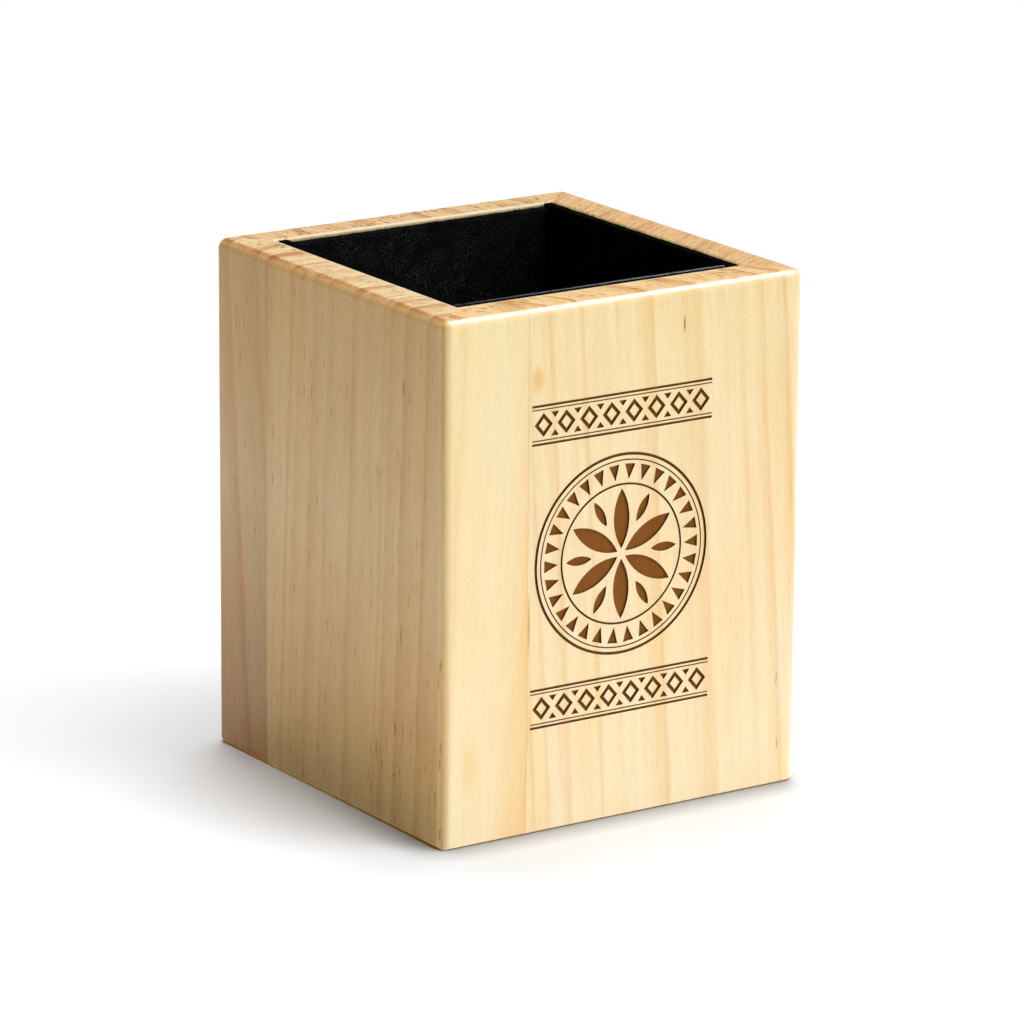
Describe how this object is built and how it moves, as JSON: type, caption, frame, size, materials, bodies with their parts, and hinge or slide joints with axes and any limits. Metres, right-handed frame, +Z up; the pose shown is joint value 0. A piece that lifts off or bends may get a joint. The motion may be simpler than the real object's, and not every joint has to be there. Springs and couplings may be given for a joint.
{
  "type": "pen cup",
  "caption": "Square open-topped pine pen cup with mitred, edge-glued walls, rounded outer edges, a base set in a rebate and a black felt lining; holds pens and pencils upright on a desk.",
  "frame": {"origin": "on the table, under the middle of the base", "axes": "+Z up along the cup's axis, -Y out of the front wall, +X to the right of someone facing the front"},
  "size_m": [0.08, 0.08, 0.1],
  "materials": {
    "lacquered_pine": "sanded, clear satin lacquer",
    "bare_pine": "sanded",
    "black_felt": "napped"
  },
  "bodies": {
    "root": {"front_narrow_stave": "lacquered_pine", "front_wide_stave": "lacquered_pine", "right_narrow_stave": "lacquered_pine", "right_wide_stave": "lacquered_pine", "back_narrow_stave": "lacquered_pine", "back_wide_stave": "lacquered_pine", "left_narrow_stave": "lacquered_pine", "left_wide_stave": "lacquered_pine", "base_board": "bare_pine", "floor_felt": "black_felt", "left_felt": "black_felt", "right_felt": "black_felt", "front_felt": "black_felt", "back_felt": "black_felt"}
  },
  "joints": []
}
